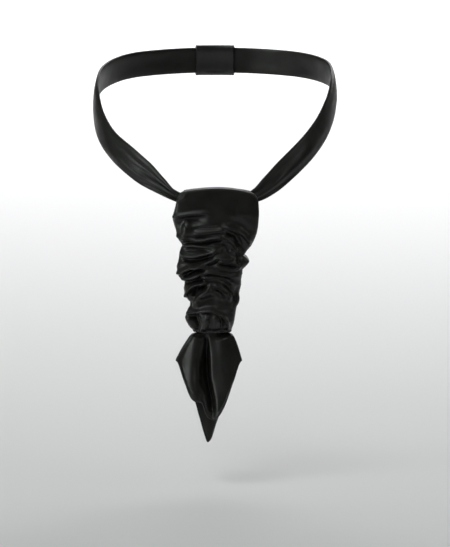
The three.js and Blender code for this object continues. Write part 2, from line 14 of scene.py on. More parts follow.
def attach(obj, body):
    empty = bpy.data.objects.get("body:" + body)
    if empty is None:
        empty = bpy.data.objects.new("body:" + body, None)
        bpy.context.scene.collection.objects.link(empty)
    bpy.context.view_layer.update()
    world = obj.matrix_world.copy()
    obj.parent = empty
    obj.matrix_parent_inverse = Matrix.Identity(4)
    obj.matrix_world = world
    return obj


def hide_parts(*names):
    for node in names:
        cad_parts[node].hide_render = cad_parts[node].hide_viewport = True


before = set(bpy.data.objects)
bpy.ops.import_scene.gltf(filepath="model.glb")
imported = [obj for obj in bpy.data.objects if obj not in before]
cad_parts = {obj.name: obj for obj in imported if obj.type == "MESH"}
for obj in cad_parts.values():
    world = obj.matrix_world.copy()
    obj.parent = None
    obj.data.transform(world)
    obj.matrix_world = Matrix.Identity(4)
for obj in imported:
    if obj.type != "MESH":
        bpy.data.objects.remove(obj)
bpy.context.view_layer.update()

# The neck band
# A strip of black satin, folded to four layers and pressed, that makes one round loop. Its front is
# gathered to a soft roll, which runs through the top of the knot, and its two cut ends meet inside the
# clasp at the back.

MM = 0.001
LOOP_HALF_WIDTH = 65
LOOP_HALF_DEPTH = 66
BAND_END_GAP = 1.4  # degrees from the middle of the back to either cut end
BAND_EDGE = {"across": 0.55, "deep": 0.62}  # roundness of its section: 1 is an ellipse
BAND_WEAVE = (32, 440)  # cloth round its section and along it, for the thread count
BAND_GRID = (72, 420)  # faces round its section and along it
BAND_CROWDING = 1.3  # above 1, the rows lie closer together at the front
BAND_HANDLED = {"size": (7, 5, 9), "seed": 3.0, "height": 0.35}
BAND_HANDLED_AT = {"across": 7, "face": 3, "edge_calm": 0.4, "outer": 0.6, "inner": 0.3}
SEWN_WITHIN = 1e-6  # metres


def table(columns, rows):
    """Rows of numbers under named columns."""
    return {name: np.array(values, float) for name, values in zip(columns.split(), zip(*rows))}


def reading(rows, key, name):
    """A smooth reading of one column against another, level at each turning point."""
    order = np.argsort(rows[key])
    at, value = rows[key][order], rows[name][order]
    step = np.diff(at)
    rate = np.diff(value) / step
    product = rate[:-1] * rate[1:]
    total = np.where(product > 0, rate[:-1] + rate[1:], 1)
    slope = np.concatenate(([0], np.where(product > 0, 2 * product / total, 0), [0]))

    def read(where):
        where = np.clip(where, at[0], at[-1])
        i = np.clip(np.searchsorted(at, where, side="right") - 1, 0, len(step) - 1)
        u = (where - at[i]) / step[i]
        rise = u * u * (3 - 2 * u)
        bend = step[i] * u * (1 - u) * (slope[i] * (1 - u) - slope[i + 1] * u)
        return value[i] * (1 - rise) + value[i + 1] * rise + bend

    return read


def smooth(value, low, high):
    """From 0 at low to 1 at high, level at both."""
    share = np.clip((value - low) / (high - low), 0, 1)
    return share * share * (3 - 2 * share)


def swell(places, handled):
    """Soft random relief of cloth that has been handled, at places in millimetres."""
    sx, sy, sz = handled["size"]
    seed = handled["seed"]
    waves = [noise.noise(Vector((x / sx + seed, y / sy, z / sz))) for x, y, z in places]
    return handled["height"] * np.array(waves)


def cloth(name, grid, place):
    """A sheet of cloth: a grid whose points are put where place says for their shares u across and v down.

    Its two long edges are sewn together. The UV map runs along u and v.
    """
    columns, rows = grid
    mesh = bmesh.new()
    bmesh.ops.create_grid(mesh, x_segments=columns, y_segments=rows, size=0.5, calc_uvs=True)
    flat = np.array([vertex.co for vertex in mesh.verts])
    placed = place(flat[:, 0] + 0.5, 0.5 - flat[:, 1])
    for vertex, (x, y, z) in zip(mesh.verts, placed.tolist()):
        vertex.co = (x * MM, y * MM, z * MM)
    bmesh.ops.remove_doubles(mesh, verts=mesh.verts, dist=SEWN_WITHIN)
    bmesh.ops.recalc_face_normals(mesh, faces=mesh.faces)
    for face in mesh.faces:
        face.smooth = True
    made = bpy.data.meshes.new(name)
    mesh.to_mesh(made)
    mesh.free()
    piece = bpy.data.objects.new(name, made)
    bpy.context.scene.collection.objects.link(piece)
    return piece


BAND_STATIONS = table("angle left right wide_left wide_right thick lean outset", [
    (0, -52.8, -52.8, 5.4, 5.4, 3.0, 10, 4.4),
    (13, -52.6, -52.8, 5.4, 5.6, 3.0, 14, 4.6),
    (19, -50.4, -50.4, 5.8, 7.6, 3.0, 20, 4.4),
    (26, -45.8, -45.4, 9.1, 10.6, 2.7, 19, 3.0),
    (36, -39.4, -37.6, 13.2, 12.6, 2.4, 15, 1.4),
    (47, -32.6, -29.4, 14.0, 13.2, 2.2, 13, 1.0),
    (60, -26.4, -20.8, 13.3, 13.5, 2.2, 12, 0),
    (74, -17.4, -9.8, 13.9, 14.1, 2.2, 10, 0),
    (90, -4.6, 1.6, 14.4, 14.4, 2.2, 8, 0),
    (108, 3.6, 6.4, 14.4, 14.4, 2.2, 6, 0),
    (140, 8.0, 8.4, 14.4, 14.4, 2.2, 4, 0),
    (180, 8.8, 8.8, 14.4, 14.4, 2.2, 3, 0),
])
# Its lengthwise folds, by degrees from the front: the place across it of each crest, from -1 at the lower
# edge to 1 at the upper edge, the height of the crest, and its half width on the same scale.
BAND_CREASES = {
    "left": [
        table("angle place height wide", [
            (8, 0.05, 0.9, 0.30), (20, 0.0, 1.2, 0.28), (28, -0.15, 1.2, 0.3),
            (38, -0.38, 1.0, 0.4), (50, -0.42, 0.6, 0.5), (64, -0.4, 0, 0.5)]),
        table("angle place height wide", [
            (8, -0.5, -0.9, 0.2), (20, -0.46, -1.2, 0.2), (28, -0.62, -0.8, 0.2),
            (36, -0.8, -0.3, 0.3), (46, -0.85, 0, 0.3)]),
        table("angle place height wide", [
            (8, 0.5, -0.6, 0.25), (22, 0.42, -1.0, 0.25), (30, 0.32, -1.3, 0.3),
            (38, 0.22, -1.5, 0.38), (48, 0.25, -1.0, 0.42), (62, 0.3, 0, 0.45)]),
    ],
    "right": [
        table("angle place height wide", [
            (8, -0.1, 0.9, 0.3), (20, -0.2, 1.2, 0.28), (28, -0.2, 1.1, 0.34),
            (40, -0.1, 0.9, 0.46), (54, 0, 0.4, 0.5), (70, 0, 0, 0.5)]),
        table("angle place height wide", [
            (8, 0.35, -0.7, 0.22), (20, 0.3, -0.7, 0.24), (28, 0.3, -0.4, 0.28),
            (38, 0.35, -0.1, 0.3), (50, 0.4, 0, 0.3)]),
        table("angle place height wide", [
            (8, -0.6, -0.5, 0.2), (22, -0.62, -0.7, 0.2), (32, -0.66, -0.5, 0.25), (44, -0.7, 0, 0.3)]),
    ],
}
BAND_BOW = table("angle bow", [(8, 0), (20, 0.1), (30, 0.3), (44, 0.5), (60, 0.6), (90, 0.6), (180, 0.5)])
BAND_NAMES = ("left", "right", "wide_left", "wide_right", "thick", "lean", "outset")
band = {name: reading(BAND_STATIONS, "angle", name) for name in BAND_NAMES}
band_bow = reading(BAND_BOW, "angle", "bow")


def band_middle(angle):
    """The middle of the band at degrees round the loop, negative on the left."""
    out = band["outset"](np.abs(angle))
    turn = np.radians(angle)
    height = np.where(angle < 0, band["left"](np.abs(angle)), band["right"](np.abs(angle)))
    return np.stack([
        (LOOP_HALF_WIDTH + out) * np.sin(turn),
        -(LOOP_HALF_DEPTH + out) * np.cos(turn),
        height,
    ], axis=1)


def unit(vectors):
    return vectors / np.linalg.norm(vectors, axis=1, keepdims=True)


def band_frame(angle):
    """The middle, outward and upward directions of the band, its half width and its half thickness."""
    away = np.abs(angle)
    along = unit(band_middle(angle + 0.5) - band_middle(angle - 0.5))
    turn, lean = np.radians(angle), np.radians(band["lean"](away))
    outward = np.stack([np.sin(turn) * np.cos(lean), -np.cos(turn) * np.cos(lean), np.sin(lean)], axis=1)
    outward = unit(outward - along * np.sum(outward * along, axis=1, keepdims=True))
    upward = np.cross(outward, along)
    half_width = np.where(angle < 0, band["wide_left"](away), band["wide_right"](away)) / 2
    return band_middle(angle), outward, upward, half_width, band["thick"](away) / 2


def creases(angle, across):
    """How far the lengthwise folds lift the face of the band."""
    lift = np.zeros_like(across)
    for side, sign in (("left", -1), ("right", 1)):
        for crease in BAND_CREASES[side]:
            place, height, wide = (
                reading(crease, "angle", name)(np.abs(angle)) for name in ("place", "height", "wide"))
            near = np.exp(-((across - place) / wide) ** 2)
            lift += np.where(angle * sign >= 0, height * near, 0)
    return lift


def band_section(u, angle):
    """Shares across and out of the band at u round its section, and how far its flat faces bow outward."""
    turn = 2 * np.pi * u
    across = np.sign(np.cos(turn)) * np.abs(np.cos(turn)) ** BAND_EDGE["across"]
    deep = np.sign(np.sin(turn)) * np.abs(np.sin(turn)) ** BAND_EDGE["deep"]
    return across, deep, band_bow(np.abs(angle)) * (1 - across ** 2)


def band_skin(u, v):
    """v runs round the loop, from one cut end to the other, and u round the band's section."""
    share = 2 * v - 1
    angle = (180 - BAND_END_GAP) * np.sign(share) * np.abs(share) ** BAND_CROWDING
    middle, outward, upward, half_width, half_thick = band_frame(angle)
    across, deep, bow = band_section(u, angle)
    at = BAND_HANDLED_AT
    places = np.stack([angle, across * at["across"], np.sign(deep) * at["face"]], axis=1)
    soft = swell(places, BAND_HANDLED) * smooth(1 - np.abs(across), 0, at["edge_calm"])
    lift = np.where(deep > 0, creases(angle, across) + at["outer"] * soft, at["inner"] * soft)
    return (
        middle
        + upward * (across * half_width)[:, None]
        + outward * (deep * half_thick + lift + bow)[:, None]
    )


neck_band = cloth("neck_band_satin", BAND_GRID, band_skin)


class Strand:
    """One socket of a finish. A sum of strands adds its Math nodes."""

    def __init__(self, tree, socket=None):
        self.tree = tree
        self.socket = socket

    def node(self, kind, settings, inputs, output=0):
        """A node of that type, with its settings made first, and then its inputs set or linked."""
        made = self.tree.nodes.new(kind)
        for name, value in settings.items():
            setattr(made, name, value)
        for name, value in inputs.items():
            if isinstance(value, Strand):
                self.tree.links.new(value.socket, made.inputs[name])
            else:
                made.inputs[name].default_value = value
        return Strand(self.tree, made.outputs[output])

    def math(self, operation, *values):
        return self.node("ShaderNodeMath", {"operation": operation}, dict(enumerate(values)))

    def __add__(self, other):
        return self.math("ADD", self, other)

    def __rsub__(self, other):
        return self.math("SUBTRACT", other, self)

    def __mul__(self, other):
        return self.math("MULTIPLY", self, other)

    __radd__ = __add__
    __rmul__ = __mul__

    def between(self, low, high):
        """0 below low and 1 above high."""
        limits = {"Value": self, "From Min": low, "From Max": high}
        return self.node("ShaderNodeMapRange", {"interpolation_type": "SMOOTHSTEP"}, limits)

    def colour(self, low, high):
        """Mixes two colours by this value. A Mix node's colours go in at 6 and 7 and come out at 2."""
        return self.node("ShaderNodeMix", {"data_type": "RGBA"}, {0: self, 6: low, 7: high}, output=2)


SATIN_DARK = (0.0052, 0.0056, 0.0044, 1)
SATIN_PALE = (0.0096, 0.0102, 0.0082, 1)
SATIN_SHADE = {"slubs": 0.45, "handling": 0.55, "dark_below": 0.3, "pale_above": 0.72}
SATIN_ROUGH = {"smooth": 0.35, "dull": 0.45, "smooth_below": 0.3, "dull_above": 0.7}
SATIN_RELIEF = {"threads": 0.012, "slubs": 0.03, "handling": 0.22, "strength": 0.8}
SATIN_SPECULAR = 0.40
SATIN_SHEEN = {"Sheen Weight": 0.02, "Sheen Roughness": 0.35, "Sheen Tint": (0.62, 0.80, 0.76, 1)}
THREAD = 0.22  # from one weft thread to the next
WAVES_PER_TURN = 20  # a band wave of scale 1 repeats this often in 2 pi
THREAD_WANDER = {"Distortion": 0.6, "Detail Scale": 0.4}
SLUBS = {"drawn_out": 6, "close": 1.4, "scale": 0.9, "detail": 3.0}
HANDLING = {"Scale": 95.0, "Detail": 3.0}


def satin(name, weave):
    """Black satin for a piece whose UV map covers those millimetres of cloth, across and along."""
    wide, long = weave
    finish = bpy.data.materials.new(name)
    finish.use_nodes = True
    tree = finish.node_tree
    shader = tree.nodes["Principled BSDF"]
    start = Strand(tree)
    uv = start.node("ShaderNodeUVMap", {"uv_map": "UVMap"}, {})
    cloth_mm = start.node("ShaderNodeMapping", {}, {"Vector": uv, "Scale": (wide, long, 1)})
    slub_scale = (wide / SLUBS["drawn_out"], long * SLUBS["close"], 1)
    drawn_out = start.node("ShaderNodeMapping", {}, {"Vector": uv, "Scale": slub_scale})
    thread_scale = 2 * math.pi / WAVES_PER_TURN / THREAD
    threads = start.node(
        "ShaderNodeTexWave",
        {"wave_type": "BANDS", "bands_direction": "Y", "wave_profile": "SIN"},
        {"Vector": cloth_mm, "Scale": thread_scale, **THREAD_WANDER},
        output="Fac")
    slubs = start.node(
        "ShaderNodeTexNoise", {}, {"Vector": drawn_out, "Scale": SLUBS["scale"], "Detail": SLUBS["detail"]})
    object_place = start.node("ShaderNodeTexCoord", {}, {}, output="Object")
    handling = start.node("ShaderNodeTexNoise", {}, {"Vector": object_place, **HANDLING})

    shade = slubs * SATIN_SHADE["slubs"] + handling * SATIN_SHADE["handling"]
    shade = shade.between(SATIN_SHADE["dark_below"], SATIN_SHADE["pale_above"])
    untouched = 1 - handling.between(SATIN_ROUGH["smooth_below"], SATIN_ROUGH["dull_above"])
    rough = SATIN_ROUGH["dull"] - (SATIN_ROUGH["dull"] - SATIN_ROUGH["smooth"]) * untouched
    relief = (
        threads * SATIN_RELIEF["threads"]
        + slubs * SATIN_RELIEF["slubs"]
        + handling * SATIN_RELIEF["handling"]
    )
    bump = start.node(
        "ShaderNodeBump", {}, {"Strength": SATIN_RELIEF["strength"], "Distance": MM, "Height": relief})
    tree.links.new(shade.colour(SATIN_DARK, SATIN_PALE).socket, shader.inputs["Base Color"])
    tree.links.new(rough.socket, shader.inputs["Roughness"])
    tree.links.new(bump.socket, shader.inputs["Normal"])
    shader.inputs["Specular IOR Level"].default_value = SATIN_SPECULAR
    for socket, value in SATIN_SHEEN.items():
        shader.inputs[socket].default_value = value
    return finish


neck_band.data.materials.append(satin("band_satin", BAND_WEAVE))
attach(neck_band, "root")
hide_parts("neck_band")

# The knot
# A sleeve of the same satin on a soft lining, joined down its back, ruched by hand round the gathered
# tails and closed over the band at its top. Its pleats are tacked inside, so they stay as they are
# shown, and its mouth is turned under.

KNOT_TOP = -46.6
KNOT_MOUTH = -121.2
KNOT_BACK_AT_TOP = -66
BACK_LEAN = math.radians(8)
KNOT_LINING = 0.5
KNOT_WEAVE = (105, 135)
KNOT_GRID = (220, 212)
KNOT_FRONT_SHARE = 0.80  # of the cloth's columns
KNOT_OUTSIDE_SHARE = 0.93  # of the cloth's rows
KNOT_TURN = {"radius": 0.9, "share": 0.5}  # the turned-under mouth, and its share of the inner rows
KNOT_HEM = {"long": 8.0, "calm": 0.8}  # cloth that goes back up inside the mouth, nearly without folds

KNOT_LEFT = table("z x", [
    (-48.2, -15.8), (-50.2, -18.8), (-52.8, -20.4), (-55.0, -20.9), (-58.2, -21.8), (-61.4, -22.6),
    (-64.6, -21.9), (-67.8, -21.0), (-71.0, -20.3), (-73.4, -19.1), (-75.8, -17.5), (-77.4, -18.2),
    (-80.6, -19.1), (-83.8, -19.5), (-87.0, -20.4), (-90.2, -19.8), (-92.0, -19.4), (-93.6, -18.0),
    (-95.2, -16.1), (-98.2, -16.5), (-101.4, -16.2), (-104.6, -14.5), (-106.2, -13.2), (-107.8, -13.5),
    (-109.4, -14.4), (-112.6, -15.6), (-114.2, -15.9), (-117.4, -14.6), (-119.6, -13.2), (-121.2, -11.8)])
KNOT_RIGHT = table("z x", [
    (-48.9, 19.2), (-51.4, 21.8), (-54.4, 23.2), (-58.0, 23.4), (-64.6, 23.1), (-67.9, 22.6), (-71.0, 21.7),
    (-74.2, 20.3), (-77.4, 18.2), (-79.0, 16.3), (-80.4, 15.6), (-82.2, 17.3), (-83.8, 17.9),
    (-85.4, 17.4), (-87.0, 16.3), (-88.6, 14.8), (-90.4, 14.6), (-93.4, 14.0), (-96.6, 13.9),
    (-99.8, 13.2), (-101.4, 12.9), (-104.0, 13.2), (-106.2, 12.8), (-108.4, 11.6), (-111.0, 11.1),
    (-114.2, 10.6), (-117.4, 9.9), (-121.2, 8.9)])
KNOT_RINGS = table("z depth fullness drop_left drop_right", [
    (KNOT_TOP, 16.0, 0.07, 1.6, 2.4), (-50.4, 16.3, 0.07, 1.4, 2.6), (-58.0, 16.6, 0.10, 1.2, 3.6),
    (-66.0, 16.9, 0.22, 2.0, 5.0), (-74.5, 16.0, 0.32, 2.6, 4.4), (-83.0, 17.5, 0.36, 3.0, 3.6),
    (-93.0, 15.5, 0.40, 4.2, 5.0), (-104.0, 14.5, 0.40, 4.0, 6.0), (-113.0, 16.0, 0.40, 2.4, 3.0),
    (-118.4, 14.0, 0.40, 0.8, 0.8), (KNOT_MOUTH, 11.4, 0.40, 0, 0)])

# Each fold: its name, the front view's x and z at points along its crest, its rise out of the cloth, and
# its soft width over and under the crest. A fold that runs down has "over" on its right.
KNOT_FOLDS = [
    ("corner tuck", [(-15.4, -46.4), (-16.2, -49.4), (-21.0, -51.8)], 0.7, 1.2, 0.5),
    ("pad rim", [(-34.0, -62.8), (-24.0, -60.4), (-17.0, -59.2), (-9.6, -58.2), (-4.4, -58.0),
                 (-0.4, -60.0)], 1.1, 1.2, 1.2),
    ("pad hollow", [(-34.0, -65.0), (-22.0, -63.2), (-12.0, -61.4), (-2.6, -60.8)], -1.8, 2.3, 3.0),
    ("left hollow", [(-32.0, -69.0), (-22.0, -68.4), (-15.0, -66.4)], -0.8, 3.2, 2.0),
    ("dart", [(-15.2, -60.4), (-15.8, -65.0), (-16.4, -70.0), (-16.8, -74.6)], 0.8, 2.4, 2.0),
    ("dart foot", [(-24.0, -70.0), (-19.0, -70.8), (-14.2, -71.8), (-9.0, -71.8)], 0.8, 1.0, 0.8),
    ("over the shelf", [(-13.0, -66.9), (-6.6, -66.0), (5.0, -65.6)], -0.5, 0.9, 0.6),
    ("shelf", [(-13.5, -69.5), (-3.6, -68.0), (6.8, -66.6)], 0.8, 1.6, 1.1),
    ("under the shelf", [(-13.4, -70.9), (-5.8, -70.3), (6.6, -68.9)], -0.8, 0.7, 0.6),
    ("lip 1", [(-13.6, -72.8), (-6.6, -72.0), (-2.0, -70.8), (6.6, -69.8)], 1.4, 1.1, 0.8),
    ("dark 1", [(-19.6, -73.2), (-16.6, -73.9), (-6.6, -73.7), (-0.2, -72.7), (5.6, -71.4)],
     -1.3, 0.8, 0.8),
    ("roll 2", [(-18.4, -75.8), (-12.3, -74.9), (-7.7, -75.5), (-0.2, -76.2), (5.4, -76.4)],
     1.0, 0.9, 1.0),
    ("inside the tongue", [(-17.0, -77.6), (-9.6, -77.5), (-2.0, -77.5)], -0.8, 0.9, 0.8),
    ("lip 2", [(-17.8, -76.2), (-18.2, -79.0), (-12.3, -80.7), (-7.7, -79.5), (-3.6, -78.4), (5.0, -77.0)],
     1.6, 1.2, 0.9),
    ("dark 2", [(-20.0, -82.0), (-17.0, -82.7), (-11.3, -82.8), (-4.5, -81.7), (0.4, -79.4)],
     -1.9, 1.4, 1.5),
    ("lip 3", [(-12.6, -86.0), (-9.0, -85.0), (-4.1, -83.6), (2.0, -80.4)], 1.2, 1.0, 0.8),
    ("dark 3", [(-5.0, -85.2), (-0.4, -83.8), (2.8, -81.4)], -0.9, 0.8, 0.9),
    ("lip 4", [(-24.0, -92.2), (-17.6, -89.0), (-13.2, -86.6), (-8.3, -85.7), (-4.8, -86.1), (-3.4, -88.0)],
     2.0, 1.2, 1.0),
    ("dark 4", [(-19.4, -91.8), (-15.6, -90.4), (-11.3, -88.1), (-5.0, -87.2)], -2.1, 1.1, 1.2),
    ("lip 5", [(-21.6, -95.4), (-17.8, -94.0), (-12.8, -92.4), (-9.8, -91.0), (-7.5, -89.5), (-3.6, -88.6),
               (0.8, -89.1), (5.0, -89.6), (9.5, -91.0), (15.0, -93.6)], 1.7, 1.1, 0.9),
    ("line 5", [(-5.2, -90.4), (-1.5, -89.9), (3.4, -90.3)], -0.8, 0.5, 0.5),
    ("lip 6", [(-9.4, -93.6), (-4.5, -91.4), (0.5, -91.0), (5.4, -92.6), (11.4, -96.8)], 1.3, 1.0, 1.0),
    ("dark 5", [(-17.0, -95.4), (-11.3, -93.9), (-5.4, -93.0)], -2.0, 1.1, 1.1),
    ("lip 7", [(-18.0, -107.0), (-14.5, -100.6), (-13.1, -97.9), (-11.3, -96.1), (-8.3, -95.1),
               (-2.4, -94.8)], 1.9, 1.1, 0.8),
    ("dark 7", [(-12.6, -102.8), (-11.3, -99.8), (-9.8, -97.7), (-7.5, -96.7), (-4.0, -96.2)],
     -2.2, 0.9, 1.2),
    ("facet", [(-1.0, -94.4), (-4.6, -98.2), (-7.6, -100.8), (-9.6, -103.8), (-11.8, -109.0)],
     1.7, 3.2, 0.9),
    ("soft 9", [(-9.0, -103.0), (-3.7, -99.3), (1.6, -100.6), (7.0, -104.0)], 0.7, 2.2, 2.0),
    ("soft 10", [(1.4, -101.0), (2.6, -105.0), (2.2, -110.0)], 0.6, 2.0, 2.2),
    ("arch", [(-20.0, -113.4), (-16.4, -112.2), (-11.3, -110.6), (-7.5, -109.3), (-2.2, -108.8),
              (0.6, -109.8), (3.1, -111.2), (5.6, -114.3), (6.6, -118.1), (6.4, -122.6)], 1.7, 1.2, 0.8),
    ("arc 1", [(2.6, -64.0), (8.6, -65.8), (13.1, -68.0), (16.1, -70.7), (19.6, -77.0)], 1.5, 1.3, 0.8),
    ("over arc 1", [(5.6, -61.8), (13.5, -63.6), (20.6, -70.0)], -0.8, 2.2, 2.0),
    ("right sheen", [(10.0, -57.4), (16.0, -57.6), (25.0, -61.4)], 0.4, 3.0, 2.4),
    ("dark arc 1", [(4.6, -66.8), (11.6, -70.6), (15.4, -78.4)], -1.2, 1.2, 1.6),
    ("arc 2", [(3.6, -69.4), (8.2, -72.8), (10.6, -75.4), (11.6, -78.6)], 1.3, 1.0, 0.8),
    ("dark arc 2", [(2.4, -73.0), (6.0, -75.2), (8.0, -79.4)], -0.6, 1.0, 1.2),
    ("lobe rim", [(11.6, -78.8), (16.4, -79.6), (17.8, -82.6), (15.4, -86.4)], 1.0, 1.4, 1.2),
    ("lobe pit", [(11.8, -78.2), (13.2, -81.8), (12.8, -86.4)], -1.6, 1.5, 1.3),
    ("brow", [(-0.4, -81.8), (5.4, -81.2), (10.4, -82.6)], 1.1, 1.0, 0.9),
    ("lid", [(1.0, -83.0), (7.4, -83.4), (14.4, -86.6)], 1.1, 0.9, 0.8),
    ("eye", [(1.0, -84.6), (7.4, -85.0), (13.4, -86.8)], -0.8, 0.8, 0.8),
    ("rim of the eye", [(-1.0, -84.6), (3.4, -86.6), (8.2, -87.3), (15.0, -86.8)], 1.3, 0.9, 0.9),
    ("arc 5", [(-2.6, -95.4), (3.6, -97.4), (7.0, -100.6), (8.2, -105.6)], 1.2, 1.3, 0.9),
    ("dark arc 5", [(3.0, -94.6), (8.8, -98.4), (10.8, -103.0), (10.4, -109.0)], -0.9, 1.0, 1.1),
    ("under arc 5", [(-1.6, -97.6), (3.2, -99.6), (5.6, -103.6)], -0.8, 1.0, 1.0),
    ("dark side", [(12.4, -96.0), (11.6, -101.0), (11.0, -107.0)], -1.0, 1.2, 1.4),
    ("pocket", [(-11.6, -109.6), (-10.4, -113.6), (-9.8, -117.6), (-10.6, -124.6)], -4.4, 1.8, 3.4),
    ("pocket side", [(-14.6, -111.0), (-13.4, -114.8), (-12.2, -120.4)], -2.2, 1.6, 1.6),
    ("pleat 1", [(-5.2, -109.8), (-4.3, -114.3), (-5.0, -118.1), (-6.6, -123.6)], 1.5, 1.2, 2.2),
    ("pleat 2", [(0.0, -109.8), (0.3, -115.0), (-0.4, -122.6)], 0.8, 1.4, 1.3),
    ("dark pleat", [(3.4, -112.2), (4.3, -116.0), (3.6, -122.6)], -1.5, 0.9, 1.1),
]
COURSE_STEPS = 28
FOLD_FADE = 0.24  # of a fold's length, at either end
ROUND_CREST = 2.3  # a higher power makes a crest rounder on top and steeper at its foot
FOLD_DEPTH = 1.3  # deepens every fold of the table
FOLD_DROOP = 0.42  # how far a fold hangs down for each millimetre that it stands out
FOLD_SIDE_POWER = 0.65  # how the folds die away where the knot turns back at its sides
KNOT_TOP_ROLL = 2.6  # how far down the cloth turns from the knot's flat top to its face
TOP_ROWS = 0.06  # share of the height over which the rows start closer together
TOP_OPEN = 0.998  # just under 1, so that the flat top never closes to a point
KNOT_BROW = {"high": 3.4, "from": 1, "to": 13}  # how far its front edge stands up, and where that ends
MOUTH_CALM = {"from": -122, "to": -117, "kept": 0.3}  # where the folds settle towards the gathered mouth
RUCHED = {"from": (63, 72), "to": (113, 119)}  # below the top band, where small creases begin and end
RUCHE_SLANT = 0.35
RUCHE_SIDES = {"front_power": 0.5, "back": 1.6}
RUCHE_SMALL = {"size": (8, 9, 1.8), "seed": 11.0, "height": 0.22}
RUCHE_SMALLEST = {"size": (4, 6, 1.2), "seed": 5.0, "height": 0.05}
PANEL_HANDLED = {"size": (9, 12, 7), "seed": 21.0, "height": 0.22}
SEAM = {"deep": 0.5, "wide": 0.006}  # at the back; wide is a share of the way round


def relief(folds, x, z):
    """The height of a table of folds at points of the front view."""
    total = np.zeros_like(x)
    for _, course, rise, over, under in folds:
        course = np.array(course, float)
        travelled = np.concatenate(([0], np.cumsum(np.hypot(*np.diff(course, axis=0).T))))
        steps = np.linspace(0, travelled[-1], COURSE_STEPS + 1)
        stations = {"at": travelled, "x": course[:, 0], "z": course[:, 1]}
        points = np.stack([reading(stations, "at", name)(steps) for name in ("x", "z")], axis=1)
        step = np.diff(points, axis=0)
        reached = np.concatenate(([0], np.cumsum(np.hypot(step[:, 0], step[:, 1]))))
        from_x, from_z = x[:, None] - points[:-1, 0], z[:, None] - points[:-1, 1]
        part = np.clip((from_x * step[:, 0] + from_z * step[:, 1]) / np.sum(step ** 2, axis=1), 0, 1)
        away_x, away_z = from_x - part * step[:, 0], from_z - part * step[:, 1]
        distance = np.hypot(away_x, away_z)
        nearest = np.argmin(distance, axis=1)[:, None]
        side = np.take_along_axis(step[:, 0] * away_z - step[:, 1] * away_x, nearest, 1)[:, 0]
        within = np.take_along_axis(part, nearest, 1)[:, 0]
        nearest = nearest[:, 0]
        along = (reached[nearest] * (1 - within) + reached[nearest + 1] * within) / reached[-1]
        distance = distance[np.arange(len(x)), nearest]
        fade = smooth(np.minimum(along, 1 - along), 0, FOLD_FADE)
        crest = np.exp(-((distance / np.where(side > 0, over, under)) ** ROUND_CREST))
        total += rise * fade * crest
    return total


knot_left, knot_right = reading(KNOT_LEFT, "z", "x"), reading(KNOT_RIGHT, "z", "x")
knot_depth, knot_fullness = reading(KNOT_RINGS, "z", "depth"), reading(KNOT_RINGS, "z", "fullness")
drop_left, drop_right = reading(KNOT_RINGS, "z", "drop_left"), reading(KNOT_RINGS, "z", "drop_right")


def back_plane(z):
    """y of what the knot's back and the tails hang against."""
    return KNOT_BACK_AT_TOP - np.maximum(0, KNOT_TOP - z) * math.tan(BACK_LEAN)


